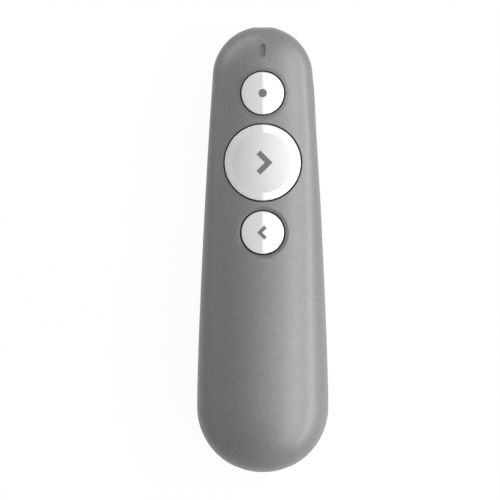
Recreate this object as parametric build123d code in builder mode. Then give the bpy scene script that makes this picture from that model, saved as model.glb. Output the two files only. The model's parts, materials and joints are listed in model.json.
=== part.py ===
"""Handheld wireless presentation clicker, built as the separate pieces it comes apart into.

Millimetres. +Y runs to the laser nose, +X to the right and +Z up through the keys. The clicker
lies on its underside: z = 0 is the flat resting patch and y = 0 is the middle of its length.
"""
from build123d import *
import os

os.makedirs("parts", exist_ok=True)

# Clearances
static_gap = 0.05        # between fixed pieces that fit into each other
stem_gap = 0.06          # radial running fit of a switch stem in its bore
slide_gap = 0.2          # round a piece that slides
seam_gap = 0.15          # visible seam round the battery door and between the two shells
key_gap = 0.4            # visible ring between a key and the casing

# Batteries and their bay
cell_radius = 5.25
cell_length = 44.5
cell_nub_radius = 1.9
cell_nub_length = 1.0
cell_gap = 0.5           # between the two cells
cell_lift = 0.6          # of the cells above the door's inner face
spring_room = 3.2        # left at the flat end of each cell
spring_radius = 2.6
spring_wire_radius = 0.3
spring_turns = 3
contact_thickness = 0.4
contact_half_width = 3.6
contact_tab_half_width = 0.8
tray_wall = 0.85
tray_end_wall = 1.2
tray_flange = 0.8        # of the tray's roof past its side walls

# Casing
wall = 1.8
side_room = 2.36         # between the door's hooks and the casing wall at the tail
nose_radius = 13.4
nose_room = 49.7         # from the battery bay to the tip of the nose
nose_rise = 7.5          # top of the nose above the parting plane
tail_rise = 13.0
nose_drop = 9.0          # underside of the nose below the parting plane
belly_bulge = 0.7        # how far the belly would sag below its flat resting patch
belly_length = 40.0      # over which the underside comes down from the nose
side_nose_hold = 3.0     # straight stretch of the side line behind the nose
side_tail_hold = 20.5    # straight stretch of the side line before the tail
flare_width = 0.6        # widening just behind the nose
flare_setback = 1.35
shoulder_fullness = 0.64 # how squarely the upper half turns down at its sides
crown_fullness = 0.56    # how flat the upper half is across its middle
belly_fullness = 0.7     # the same for the whole lower half
nose_facet = 0.2         # flat ground on the tip of the nose
station_count = 7
lip_height = 1.2
seam_depth = 0.3         # of the groove where the two shells meet

# Battery door
door_height = 6.0
door_tail_step = 1.6     # how much higher the door reaches round the tail
door_front_reach = 1.6   # of the door past the tray's front wall
tongue_length = 2.0
tongue_half_width = 5.0
rail_thickness = 0.8
rail_hook = 0.6
rail_rise = 1.1          # of the hooks above the side seam
hook_thickness = 0.4
ledge_thickness = 0.4
rail_length = 24.0
rail_setback = 3.0       # of the rails from the rear end of the battery bay
grip_groove_count = 5
grip_groove_pitch = 2.2
grip_groove_width = 0.9
grip_groove_depth = 0.35
grip_groove_length = 9.0
grip_groove_setback = 5.0

# Keys
next_key_radius = 10.2
small_key_radius = 5.7
next_key_setback = 36.5  # of its centre from the tip of the nose
key_spacing_front = 2.7  # rim to rim, laser key to next key
key_spacing_back = 2.85  # rim to rim, next key to back key
key_proud = 0.2
key_skin = 1.2
key_side = 1.1
key_travel = 0.6
key_post_radius = 1.6
flange_lip = 0.5
flange_thickness = 0.85
flange_half_width = 6.0
sleeve_thickness = 1.0
halo_width = 1.3         # shallow ring sunk round each small key
halo_depth = 0.35
dish_radius = 8.1
dish_depth = 0.35

# Key marks
mark_depth = 0.3
next_mark_height = 6.5
next_mark_width = 4.27
next_mark_stroke = 1.49
next_mark_shift = 0.5    # of a mark's middle from the key's, the way it points
back_mark_height = 3.76
back_mark_width = 2.54
back_mark_stroke = 0.96
back_mark_shift = 0.22
dot_radius = 1.13

# Circuit board and what stands on it
board_thickness = 1.2
board_gap = 0.2          # above the battery tray
board_margin = 1.2       # inside the casing's wall
board_overhang = 18.8    # behind the centre of the back key
switch_side = 4.6
switch_height = 2.0
switch_floor = 0.3
stem_radius = 1.1
stem_reach = 0.6         # of a stem above its switch
terminal_length = 1.0
terminal_width = 0.7
terminal_height = 0.4
post_radius = 1.8
post_half_span = 9.4
post_front_offset = 10.4 # in front of the centre of the next key
post_back_half_span = 9.0
post_back_offset = 15.4  # behind the centre of the back key
chip_side = 5.0
chip_height = 0.9
crystal_length = 3.2
crystal_width = 2.5
crystal_height = 0.7
antenna_length = 6.0
antenna_width = 2.0
antenna_height = 1.2
passive_length = 1.6
passive_width = 0.8
passive_height = 0.6
passive_pitch = 2.4
led_length = 1.6
led_width = 0.8
led_height = 0.7

# Status light
status_setback = 6.5     # of its centre from the tip of the nose
status_length = 3.5
status_width = 1.3
pipe_flange = 0.6
pipe_flange_height = 0.5
pipe_gap = 0.1

# Laser
barrel_radius = 3.0
barrel_length = 10.0
barrel_setback = 5.8
barrel_gap = 0.8         # under the board
diode_radius = 2.3
diode_length = 3.0
diode_inset = 0.5
lens_radius = 2.0
lens_edge = 0.8
lens_bulge = 0.45
lens_setback = 3.4       # of the lens centre from the front of the barrel
lens_ring_length = 1.2
lens_ring_bore = 1.3
beam_radius = 1.5
window_radius = 2.3
window_thickness = 0.8
window_setback = 1.8     # of its front from the tip of the nose
window_rim = 1.0         # of its block past its edge
lead_radius = 0.22
lead_pitch = 1.1
lead_setback = 1.4
lead_bend = 0.6
cradle_thickness = 1.2
cradle_half_width = 4.6
cradle_inset = 2.0

# Receiver and its dock
plug_length = 12.0
plug_width = 12.0
plug_height = 4.5
plug_sheet = 0.3
plug_tongue_height = 1.9
plug_tongue_setback = 0.6
plug_contact_count = 4
plug_contact_pitch = 2.3
plug_contact_width = 1.0
plug_contact_length = 6.5
plug_contact_thickness = 0.2
grip_length = 6.6
grip_width = 14.2
grip_height = 5.4
grip_rise = 0.9          # of the grip's underside above the door's tail edge
grip_sink = 0.1
nail_groove_height = 0.8
nail_groove_depth = 0.6
dock_wall = 0.8
dock_end_wall = 1.2
dock_end_gap = 0.3
dock_collar = 1.0        # of the dock over the front end of the grip

# Screws
case_boss_radius = 2.2
case_boss_half_span = 12.2
case_boss_setback = 2.9  # behind the middle of the tail's round end
case_screw_radius = 0.8
case_screw_length = 7.0
case_head_radius = 1.5
case_head_height = 1.2
case_head_sink = 1.5
board_screw_radius = 0.6
board_screw_length = 4.0
board_head_radius = 1.3
board_head_height = 0.8
web_thickness = 1.6
rib_thickness = 1.2
rib_height = 4.0
rib_inset = 0.2          # of a tray rib's inner end from the tray's side wall
rib_count = 3

# Heights, from the batteries up
cell_z = wall + cell_lift + cell_radius
part_height = cell_z + cell_radius + slide_gap
tray_top = part_height + tray_wall
board_bottom = tray_top + board_gap
board_top = board_bottom + board_thickness
flange_bottom = board_top + key_travel + slide_gap
flange_top = flange_bottom + flange_thickness
sleeve_bottom = flange_top + slide_gap
stem_bottom = board_top + switch_floor + key_travel + static_gap
stem_top = board_top + switch_height + stem_reach
nose_top = part_height + nose_rise
tail_top = part_height + tail_rise
nose_bottom = part_height - nose_drop
door_tail_height = door_height + door_tail_step
grip_z = door_tail_height + grip_rise + grip_height / 2
laser_z = board_bottom - barrel_gap - barrel_radius
beyond = 40.0            # longer than any cut through the casing needs to be

# Widths, from the batteries out
cell_x = cell_radius + cell_gap / 2
tray_inner_x = cell_x + cell_radius + slide_gap
tray_outer_x = tray_inner_x + tray_wall
rail_x = tray_outer_x + slide_gap + static_gap
hook_x = rail_x + rail_thickness
tail_radius = hook_x + rail_hook + side_room + wall

# Lengths, with y = 0 at mid length
receiver_length = plug_length + grip_length
bay_length = cell_length + spring_room + 2 * contact_thickness
tail_room = grip_sink + receiver_length + dock_end_gap + dock_end_wall + tray_end_wall
body_length = tail_room + bay_length + nose_room
nose_tip = (body_length + nose_facet) / 2
tail_tip = nose_tip - body_length
bay_rear = tail_tip + tail_room
bay_front = bay_rear + bay_length
nose_y = nose_tip - nose_radius
tail_y = tail_tip + tail_radius
facet_y = nose_tip - nose_facet
next_key_y = nose_tip - next_key_setback
laser_key_y = next_key_y + next_key_radius + key_spacing_front + small_key_radius
back_key_y = next_key_y - next_key_radius - key_spacing_back - small_key_radius
status_y = nose_tip - status_setback
board_tail = back_key_y - board_overhang
door_front = bay_front + tray_end_wall + door_front_reach
door_step_y = tail_y - rail_hook
barrel_front = nose_tip - barrel_setback
barrel_rear = barrel_front - barrel_length
window_front = nose_tip - window_setback
window_rear = window_front - window_thickness
grip_rear = tail_tip + grip_sink
plug_rear = grip_rear + grip_length
plug_front = plug_rear + plug_length
dock_front = bay_rear - tray_end_wall
case_screw_y = tail_y - case_boss_setback
rail_rear = bay_rear + rail_setback
board_inset = wall + board_margin

keys = {
    "laser": (laser_key_y, small_key_radius),
    "next": (next_key_y, next_key_radius),
    "back": (back_key_y, small_key_radius),
}
board_posts = [
    (side * post_half_span, next_key_y + post_front_offset) for side in (-1, 1)
] + [
    (side * post_back_half_span, back_key_y - post_back_offset) for side in (-1, 1)
]
case_posts = [(side * case_boss_half_span, case_screw_y) for side in (-1, 1)]

# The side of the casing seen from above, from the nose round end to the tail round end
side_line = Bezier(
    (nose_radius, nose_y),
    (nose_radius, nose_y - side_nose_hold),
    (nose_radius + flare_width, nose_y - flare_setback),
    (tail_radius, tail_y + side_tail_hold),
    (tail_radius, tail_y),
)


def finish(piece, name):
    """Labels a finished piece and writes it to its own file."""
    piece.part.label = name
    export_step(piece.part, f"parts/{name}.step")


def ease(share):
    """Goes from 0 to 1 with a level start and a level end."""
    share = min(max(share, 0), 1)
    return share * share * (3 - 2 * share)


def crown_at(y):
    """Height of the casing's crown line at y."""
    return nose_top + (tail_top - nose_top) * ease((nose_y - y) / (nose_y - tail_y))


def keel_at(y):
    """Height of the casing's keel line at y, before the resting patch is cut flat."""
    return nose_bottom - (nose_bottom + belly_bulge) * ease((nose_y - y) / belly_length)


def section_quarter(half_width, level, side):
    """Draws a quarter of a casing section, from the crown or keel out to the parting plane."""
    flatness, squareness = crown_fullness, shoulder_fullness
    if level < part_height:
        flatness = squareness = belly_fullness
    shoulder = part_height + squareness * (level - part_height)
    wide = side * half_width
    Bezier((0, level), (flatness * wide, level), (wide, shoulder), (wide, part_height))


def casing_form(inset):
    """The casing's whole outside form as one solid, shrunk all round by inset."""
    with BuildPart() as form:
        for station in range(station_count):
            point = side_line @ (station / (station_count - 1))
            levels = (crown_at(point.Y) - inset, keel_at(point.Y) + inset)
            with BuildSketch(Plane.XZ.offset(-point.Y)):
                with BuildLine():
                    for level in levels:
                        for side in (-1, 1):
                            section_quarter(point.X - inset, level, side)
                make_face()
        loft(clean=False)
        for end_y, radius, turn in ((nose_y, nose_radius, 1), (tail_y, tail_radius, -1)):
            levels = (crown_at(end_y) - inset, keel_at(end_y) + inset)
            with BuildSketch(Plane.XZ.offset(-end_y)):
                with BuildLine():
                    for level in levels:
                        section_quarter(radius - inset, level, 1)
                    Line((0, levels[1]), (0, levels[0]))
                make_face()
            revolve(axis=Axis((0, end_y, 0), (0, 0, turn)), revolution_arc=180, clean=False)
        # The flat resting patch and the small flat on the tip of the nose
        span_box((-beyond, beyond), (-beyond * 2, facet_y - inset), (inset, beyond), Mode.INTERSECT)
    return form.part


def span_box(x, y, z, mode=Mode.ADD):
    """A box from its low and high limits along each axis."""
    with Locations(((x[0] + x[1]) / 2, (y[0] + y[1]) / 2, (z[0] + z[1]) / 2)):
        Box(x[1] - x[0], y[1] - y[0], z[1] - z[0], mode=mode)


def column(x, y, radius, low, high, mode=Mode.ADD):
    """An upright round column between two heights."""
    with Locations((x, y, (low + high) / 2)):
        Cylinder(radius, high - low, mode=mode)


def rod(y_low, y_high, radius, z, mode=Mode.ADD, x=0):
    """A round rod along Y."""
    with Locations((x, (y_low + y_high) / 2, z)):
        Cylinder(radius, y_high - y_low, rotation=(90, 0, 0), mode=mode)


def on_side(side, near, far):
    """The low and high X limits of something between two distances from the middle."""
    return sorted((side * near, side * far))


def door_region(gap):
    """The part of the casing that the battery door takes, widened by a seam gap."""
    with BuildPart() as region:
        span_box((-beyond, beyond), (tail_tip - beyond, door_front + gap), (-beyond, door_height + gap))
        span_box((-beyond, beyond), (tail_tip - beyond, door_step_y + gap), (0, door_tail_height + gap))
    return region.part


inside_form = casing_form(wall)
middle_form = casing_form(wall / 2)
sunk_form = casing_form(halo_depth)

with BuildPart() as casing_wall:
    add(casing_form(0), clean=False)
    add(inside_form, mode=Mode.SUBTRACT, clean=False)

above_parting = (part_height, part_height + beyond)
below_parting = (-beyond, part_height)
everywhere = (-beyond * 2, beyond * 2)

mouth_x = (-grip_width / 2 - slide_gap, grip_width / 2 + slide_gap)
mouth_low = grip_z - grip_height / 2 - slide_gap
mouth_high = grip_z + grip_height / 2 + slide_gap
case_seat = door_tail_height + seam_gap + case_head_sink


# ---- Casing -------------------------------------------------------------------------------

# Guide sleeves of the keys, and the posts for the board and the case screws
with BuildPart() as top_posts:
    for key_y, key_radius in keys.values():
        column(0, key_y, key_radius + key_gap + sleeve_thickness, sleeve_bottom, tail_top)
    for post_x, post_y in board_posts:
        column(post_x, post_y, post_radius, board_top, tail_top)
    for post_x, post_y in case_posts:
        column(post_x, post_y, case_boss_radius, part_height, tail_top)
    add(middle_form, mode=Mode.INTERSECT)

# Shallow ring round each small key
with BuildPart() as halos:
    for key_y in (laser_key_y, back_key_y):
        column(0, key_y, small_key_radius + halo_width, part_height, tail_top)
    add(sunk_form, mode=Mode.SUBTRACT)

# Room in the top shell's edge for the bottom shell's lip
with BuildPart() as lip_room:
    add(middle_form, clean=False)
    span_box(everywhere, everywhere, (part_height - wall, part_height + lip_height + static_gap),
             Mode.INTERSECT)

with BuildPart() as top_shell:
    add(casing_wall.part, clean=False)
    span_box(everywhere, everywhere, above_parting, Mode.INTERSECT)
    add(lip_room.part, mode=Mode.SUBTRACT)
    add(top_posts.part)
    add(halos.part, mode=Mode.SUBTRACT)
    for key_y, key_radius in keys.values():
        column(0, key_y, key_radius + key_gap, part_height, tail_top + wall, Mode.SUBTRACT)
    for post_x, post_y in board_posts:
        column(post_x, post_y, board_screw_radius, board_top, board_bottom + board_screw_length,
               Mode.SUBTRACT)
    for post_x, post_y in case_posts:
        column(post_x, post_y, case_screw_radius, part_height, case_seat + case_screw_length, Mode.SUBTRACT)
    # Status light slot and the upper part of the receiver's mouth
    with BuildSketch(Plane.XY.offset(part_height)):
        with Locations((0, status_y)):
            SlotOverall(status_length + 2 * static_gap, status_width + 2 * static_gap, rotation=90)
    extrude(amount=nose_rise + tail_rise, mode=Mode.SUBTRACT)
    span_box(mouth_x, (tail_tip - wall, plug_rear), (part_height - wall, mouth_high), Mode.SUBTRACT)
finish(top_shell, "top_shell")

# Lip that stands up inside the top shell's edge
with BuildPart() as lip:
    add(casing_form(wall / 2 + static_gap), clean=False)
    add(inside_form, mode=Mode.SUBTRACT, clean=False)
    span_box(everywhere, everywhere, (part_height, part_height + lip_height), Mode.INTERSECT)

# Bosses, ribs under the battery tray, ledges for the door's hooks, and the laser's cradle and window block
with BuildPart() as bottom_posts:
    for side in (-1, 1):
        column(side * case_boss_half_span, case_screw_y, case_boss_radius,
               door_tail_height + seam_gap, part_height)
        span_box(on_side(side, case_boss_half_span, tail_radius),
                 (case_screw_y - web_thickness / 2, case_screw_y + web_thickness / 2),
                 (door_tail_height + seam_gap, part_height))
        for step in range(rib_count):
            rib_y = bay_rear + bay_length * (step + 0.5) / rib_count
            span_box(on_side(side, tray_outer_x + rib_inset, tail_radius),
                     (rib_y - rib_thickness / 2, rib_y + rib_thickness / 2),
                     (part_height - rib_height, part_height))
        span_box(on_side(side, hook_x + seam_gap, tail_radius), (rail_rear, rail_rear + rail_length),
                 (door_height + seam_gap, door_height + seam_gap + ledge_thickness))
    for rib_y in (barrel_rear + cradle_inset, barrel_front - cradle_inset):
        span_box((-cradle_half_width, cradle_half_width),
                 (rib_y - cradle_thickness / 2, rib_y + cradle_thickness / 2), (0, laser_z))
    # Block behind the nose that the laser's window is seated in
    block_reach = window_radius + window_rim
    span_box((-block_reach, block_reach), (window_rear - window_rim, nose_tip),
             (laser_z - block_reach, part_height))
    add(middle_form, mode=Mode.INTERSECT)

# Fine groove round the outside where the two shells meet
with BuildPart() as shell_groove:
    add(casing_wall.part, clean=False)
    add(casing_form(seam_depth), mode=Mode.SUBTRACT, clean=False)
    span_box(everywhere, everywhere, (part_height - seam_gap, part_height), Mode.INTERSECT)

# Rebate over the battery door's front tongue
with BuildPart() as tongue_rebate:
    add(middle_form)
    span_box((-tongue_half_width - seam_gap, tongue_half_width + seam_gap),
             (door_front, door_front + tongue_length + seam_gap), (-belly_bulge, door_height),
             Mode.INTERSECT)

with BuildPart() as bottom_shell:
    add(casing_wall.part, clean=False)
    span_box(everywhere, everywhere, below_parting, Mode.INTERSECT)
    add(lip.part)
    add(bottom_posts.part)
    rod(barrel_rear, barrel_front, barrel_radius, laser_z, Mode.SUBTRACT)
    add(door_region(seam_gap), mode=Mode.SUBTRACT)
    add(tongue_rebate.part, mode=Mode.SUBTRACT)
    add(shell_groove.part, mode=Mode.SUBTRACT)
    # Screw holes, laser port and receiver mouth
    for post_x, post_y in case_posts:
        column(post_x, post_y, case_screw_radius + static_gap, door_height, part_height + wall, Mode.SUBTRACT)
        column(post_x, post_y, case_head_radius + static_gap, door_height, case_seat, Mode.SUBTRACT)
    rod(barrel_front, nose_tip + wall, beam_radius, laser_z, Mode.SUBTRACT)
    rod(window_rear, nose_tip + wall, window_radius, laser_z, Mode.SUBTRACT)
    span_box(mouth_x, (tail_tip - wall, plug_rear), (mouth_low, part_height + 2 * lip_height), Mode.SUBTRACT)
finish(bottom_shell, "bottom_shell")

# Rails with outward hooks, which ride over the bottom shell's ledges
with BuildPart() as door_rails:
    for side in (-1, 1):
        span_box(on_side(side, rail_x, hook_x), (rail_rear, rail_rear + rail_length),
                 (0, door_height + rail_rise))
    add(middle_form, mode=Mode.INTERSECT)

# Front tongue, half as thick as the wall
with BuildPart() as door_tongue:
    add(casing_form(wall / 2 + static_gap))
    add(inside_form, mode=Mode.SUBTRACT)
    span_box((-tongue_half_width, tongue_half_width), (door_front - wall, door_front + tongue_length),
             (-belly_bulge, door_height - wall), Mode.INTERSECT)

with BuildPart() as battery_door:
    add(casing_wall.part, clean=False)
    add(door_region(0), mode=Mode.INTERSECT)
    add(door_rails.part)
    hook_top = door_height + rail_rise
    for side in (-1, 1):
        span_box(on_side(side, rail_x, hook_x + rail_hook), (rail_rear, rail_rear + rail_length),
                 (hook_top - hook_thickness, hook_top))
    add(door_tongue.part)
    # Thumb grooves near the front edge
    for groove in range(grip_groove_count):
        groove_y = door_front - grip_groove_setback - groove * grip_groove_pitch
        with BuildSketch(Plane.XY):
            with Locations((0, groove_y)):
                SlotOverall(grip_groove_length, grip_groove_width)
        extrude(amount=grip_groove_depth, mode=Mode.SUBTRACT)
finish(battery_door, "battery_door")


# ---- Keys, their marks and their switches -------------------------------------------------

def chevron(centre_y, height, width, stroke, shift):
    """Draws a square-ended chevron of two strokes at 45 degrees, pointing the way it is shifted."""
    half_height = height / 2
    end_step = stroke / 2 ** 0.5
    direction = 1 if shift > 0 else -1
    tip = direction * width / 2 + shift
    outer_end = tip - direction * half_height
    inner_end = outer_end - direction * end_step
    Polyline(
        (tip, centre_y),
        (outer_end, centre_y + half_height),
        (inner_end, centre_y + half_height - end_step),
        (tip - direction * 2 * end_step, centre_y),
        (inner_end, centre_y - half_height + end_step),
        (outer_end, centre_y - half_height),
        close=True)


def mark_prism(name):
    """The upright prism of a key's mark, taller than the casing."""
    with BuildPart() as prism:
        with BuildSketch(Plane.XY.offset(part_height)):
            if name == "laser":
                with Locations((0, laser_key_y)):
                    Circle(dot_radius)
            else:
                with BuildLine():
                    if name == "next":
                        chevron(next_key_y, next_mark_height, next_mark_width, next_mark_stroke,
                                next_mark_shift)
                    else:
                        chevron(back_key_y, back_mark_height, back_mark_width, back_mark_stroke,
                                -back_mark_shift)
                make_face()
        extrude(amount=nose_rise + tail_rise)
    return prism.part


key_top = casing_form(-key_proud)
key_ceiling = casing_form(dish_depth - key_proud + key_skin)
dish_floor = casing_form(dish_depth - key_proud)
small_mark_floor = casing_form(mark_depth - key_proud)
next_mark_floor = casing_form(dish_depth - key_proud + mark_depth)

# The thumb dish that is sunk into the next key
with BuildPart() as dish:
    column(0, next_key_y, dish_radius, part_height, tail_top + wall)
    add(dish_floor, mode=Mode.SUBTRACT)

for name, (key_y, key_radius) in keys.items():
    prism = mark_prism(name)
    mark_top, mark_floor = key_top, small_mark_floor
    if name == "next":
        mark_top, mark_floor = dish_floor, next_mark_floor

    # Hollow underside, with the post that rests on the switch stem
    with BuildPart() as hollow:
        column(0, key_y, key_radius - key_side, flange_bottom, tail_top)
        add(key_ceiling, mode=Mode.INTERSECT)
        column(0, key_y, key_post_radius, stem_top, tail_top, Mode.SUBTRACT)

    # Catches at the front and the back, under the sleeve
    with BuildPart() as catches:
        column(0, key_y, key_radius + key_gap + flange_lip, flange_bottom, flange_top)
        column(0, key_y, key_radius - key_side, flange_bottom, flange_top, Mode.SUBTRACT)
        span_box((-flange_half_width, flange_half_width), (key_y - beyond, key_y + beyond),
                 (flange_bottom, flange_top), Mode.INTERSECT)

    with BuildPart() as mark:
        add(prism)
        add(mark_top, mode=Mode.INTERSECT)
        add(mark_floor, mode=Mode.SUBTRACT)
    finish(mark, f"{name}_key_mark")

    with BuildPart() as key:
        column(0, key_y, key_radius, flange_bottom, tail_top + wall)
        add(key_top, mode=Mode.INTERSECT)
        add(hollow.part, mode=Mode.SUBTRACT)
        add(catches.part)
        if name == "next":
            add(dish.part, mode=Mode.SUBTRACT)
        add(mark.part, mode=Mode.SUBTRACT)
    finish(key, f"{name}_key")

    with BuildPart() as switch:
        span_box((-switch_side / 2, switch_side / 2), (key_y - switch_side / 2, key_y + switch_side / 2),
                 (board_top, board_top + switch_height))
        column(0, key_y, stem_radius + stem_gap, board_top + switch_floor, board_top + switch_height,
               Mode.SUBTRACT)
    finish(switch, f"{name}_switch")

    with BuildPart() as stem:
        column(0, key_y, stem_radius, stem_bottom, stem_top)
    finish(stem, f"{name}_switch_stem")

with BuildPart() as switch_terminals:
    for key_y, key_radius in keys.values():
        for side in (-1, 1):
            for end in (-1, 1):
                terminal_x = side * (switch_side + terminal_length) / 2
                terminal_y = key_y + end * (switch_side / 2 - terminal_width)
                with Locations((terminal_x, terminal_y, board_top + terminal_height / 2)):
                    Box(terminal_length, terminal_width, terminal_height)
finish(switch_terminals, "switch_terminals")


# ---- Circuit board ------------------------------------------------------------------------

with BuildPart() as circuit_board:
    add(casing_form(board_inset))
    span_box((-beyond, beyond), (board_tail, nose_tip), (board_bottom, board_top), Mode.INTERSECT)
    for post_x, post_y in board_posts:
        column(post_x, post_y, board_screw_radius + static_gap, board_bottom, board_top, Mode.SUBTRACT)
finish(circuit_board, "circuit_board")

chip_y = bay_front + tray_end_wall + chip_side
with BuildPart() as radio_chip:
    span_box((-chip_side / 2, chip_side / 2), (chip_y - chip_side / 2, chip_y + chip_side / 2),
             (board_bottom - chip_height, board_bottom))
finish(radio_chip, "radio_chip")

crystal_x = chip_side / 2 + crystal_width
with BuildPart() as crystal:
    span_box((crystal_x - crystal_width / 2, crystal_x + crystal_width / 2),
             (chip_y - crystal_length / 2, chip_y + crystal_length / 2),
             (board_bottom - crystal_height, board_bottom))
finish(crystal, "crystal")

antenna_y = chip_y + chip_side + antenna_length / 2
with BuildPart() as chip_antenna:
    span_box((-crystal_x - antenna_width / 2, antenna_width / 2 - crystal_x),
             (antenna_y - antenna_length / 2, antenna_y + antenna_length / 2),
             (board_bottom - antenna_height, board_bottom))
finish(chip_antenna, "chip_antenna")

with BuildPart() as board_passives:
    with Locations((crystal_x, antenna_y, board_bottom - passive_height / 2)):
        with GridLocations(passive_pitch, passive_pitch, 2, 3):
            Box(passive_width, passive_length, passive_height)
finish(board_passives, "board_passives")

with BuildPart() as status_led:
    span_box((-led_width / 2, led_width / 2), (status_y - led_length / 2, status_y + led_length / 2),
             (board_top, board_top + led_height))
finish(status_led, "status_led")

with BuildPart() as status_light_pipe:
    pipe_bottom = board_top + led_height + pipe_gap
    with BuildSketch(Plane.XY.offset(pipe_bottom)):
        with Locations((0, status_y)):
            SlotOverall(status_length, status_width, rotation=90)
    extrude(amount=nose_rise)
    add(sunk_form, mode=Mode.INTERSECT)
    with BuildSketch(Plane.XY.offset(pipe_bottom)):
        with Locations((0, status_y)):
            SlotOverall(status_length + 2 * pipe_flange, status_width + 2 * pipe_flange, rotation=90)
    extrude(amount=pipe_flange_height)
finish(status_light_pipe, "status_light_pipe")


# ---- Laser --------------------------------------------------------------------------------

lens_y = barrel_front - lens_setback
lens_rear = lens_y - lens_edge / 2
lens_front = lens_y + lens_edge / 2
lens_face_radius = (lens_radius ** 2 + lens_bulge ** 2) / (2 * lens_bulge)

with BuildPart() as laser_barrel:
    rod(barrel_rear, barrel_front, barrel_radius, laser_z)
    rod(barrel_rear, barrel_rear + diode_inset + diode_length, diode_radius, laser_z, Mode.SUBTRACT)
    rod(barrel_rear, barrel_front, beam_radius, laser_z, Mode.SUBTRACT)
    rod(lens_rear, barrel_front, lens_radius, laser_z, Mode.SUBTRACT)
finish(laser_barrel, "laser_barrel")

with BuildPart() as laser_diode:
    rod(barrel_rear + diode_inset, barrel_rear + diode_inset + diode_length, diode_radius, laser_z)
    rod(barrel_rear + 2 * diode_inset, barrel_rear + diode_inset + diode_length, beam_radius / 2, laser_z,
        Mode.SUBTRACT)
finish(laser_diode, "laser_diode")

# A flat back and a bulging front
with BuildPart() as collimator_lens:
    rod(lens_rear, lens_front + lens_bulge, lens_radius, laser_z)
    with Locations((0, lens_front + lens_bulge - lens_face_radius, laser_z)):
        Sphere(lens_face_radius, mode=Mode.INTERSECT)
finish(collimator_lens, "collimator_lens")

with BuildPart() as lens_ring:
    ring_rear = lens_front + lens_bulge
    rod(ring_rear, ring_rear + lens_ring_length, lens_radius, laser_z)
    rod(lens_front, ring_rear + lens_ring_length, lens_ring_bore, laser_z, Mode.SUBTRACT)
finish(lens_ring, "lens_ring")

with BuildPart() as laser_window:
    rod(window_rear, window_front, window_radius, laser_z)
finish(laser_window, "laser_window")

with BuildPart() as laser_leads:
    for step in (-1, 0, 1):
        lead_x = step * lead_pitch
        lead_y = barrel_rear - lead_setback - abs(step) * lead_pitch
        with BuildLine(Plane.YZ.offset(lead_x)) as lead_path:
            FilletPolyline(
                (barrel_rear + diode_inset, laser_z), (lead_y, laser_z), (lead_y, board_bottom),
                radius=lead_bend)
        with BuildSketch(Plane(lead_path.line @ 0, z_dir=lead_path.line % 0)):
            Circle(lead_radius)
        sweep(path=lead_path.line)
finish(laser_leads, "laser_leads")


# ---- Batteries, tray and contacts ---------------------------------------------------------

def cell(name, side, flat_end, facing):
    """An AAA cell lying along Y, from its flat end towards its nub."""
    nub_base = flat_end + facing * (cell_length - cell_nub_length)
    nub_tip = flat_end + facing * cell_length
    with BuildPart() as body:
        rod(*sorted((flat_end, nub_base)), cell_radius, cell_z, x=side * cell_x)
        rims = body.edges().filter_by(GeomType.CIRCLE)
        fillet(rims, radius=contact_thickness)
        rod(*sorted((nub_base, nub_tip)), cell_nub_radius, cell_z, x=side * cell_x)
    finish(body, name)


cell("cell_left", -1, bay_rear + contact_thickness + spring_room, 1)
cell("cell_right", 1, bay_front - contact_thickness - spring_room, -1)

plate_low = cell_z - contact_half_width
plate_high = cell_z + contact_half_width
tab_slots = [(side * cell_x - contact_tab_half_width, side * cell_x + contact_tab_half_width)
             for side in (-1, 1)]

with BuildPart() as battery_tray:
    roof_x = tray_outer_x + tray_flange
    span_box((-roof_x, roof_x), (bay_rear - tray_end_wall, bay_front + tray_end_wall),
             (part_height, tray_top))
    for side in (-1, 1):
        span_box(sorted((side * tray_inner_x, side * tray_outer_x)),
                 (bay_rear - tray_end_wall, bay_front + tray_end_wall),
                 (door_tail_height, part_height))
    end_low = wall + cell_lift
    end_walls = ((bay_rear - tray_end_wall, bay_rear), (bay_front, bay_front + tray_end_wall))
    for limits in end_walls:
        span_box((-tray_outer_x, tray_outer_x), limits, (door_tail_height, part_height))
        span_box((-cell_x - cell_radius / 4, cell_x + cell_radius / 4), limits, (end_low, door_tail_height))
    # Room for the contact tabs and the rear screw heads
    for slot in tab_slots:
        span_box((slot[0] - static_gap, slot[1] + static_gap),
                 (bay_front - contact_thickness - static_gap, bay_front), (part_height, tray_top),
                 Mode.SUBTRACT)
    for post_x, post_y in board_posts:
        column(post_x, post_y, board_head_radius + slide_gap, part_height, tray_top, Mode.SUBTRACT)
finish(battery_tray, "battery_tray")


def front_contact(name, slot):
    """A front contact plate with a solder tab up to the board."""
    middle = (slot[0] + slot[1]) / 2
    with BuildPart() as plate:
        span_box((middle - contact_half_width, middle + contact_half_width),
                 (bay_front - contact_thickness, bay_front), (plate_low, plate_high))
        span_box(slot, (bay_front - contact_thickness, bay_front), (plate_high, board_bottom))
    finish(plate, name)


front_contact("front_contact_left", tab_slots[0])
front_contact("front_contact_right", tab_slots[1])

with BuildPart() as rear_contact_bridge:
    bridge_x = cell_x + contact_half_width
    span_box((-bridge_x, bridge_x), (bay_rear, bay_rear + contact_thickness), (plate_low, plate_high))
finish(rear_contact_bridge, "rear_contact_bridge")


def contact_spring(name, side, low, high):
    """A coil spring along Y between a contact plate and the flat end of a cell."""
    start = low + spring_wire_radius + static_gap
    height = high - low - 2 * (spring_wire_radius + static_gap)
    with BuildPart() as spring:
        with BuildLine() as coil:
            Helix(pitch=height / spring_turns, height=height, radius=spring_radius,
                  center=(side * cell_x, start, cell_z), direction=(0, 1, 0))
        with BuildSketch(Plane(coil.line @ 0, z_dir=coil.line % 0)):
            Circle(spring_wire_radius)
        sweep(path=coil.line, is_frenet=True)
    finish(spring, name)


contact_spring("rear_contact_spring", -1, bay_rear + contact_thickness,
               bay_rear + contact_thickness + spring_room)
contact_spring("front_contact_spring", 1, bay_front - contact_thickness - spring_room,
               bay_front - contact_thickness)


# ---- Receiver and its dock ----------------------------------------------------------------

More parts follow.
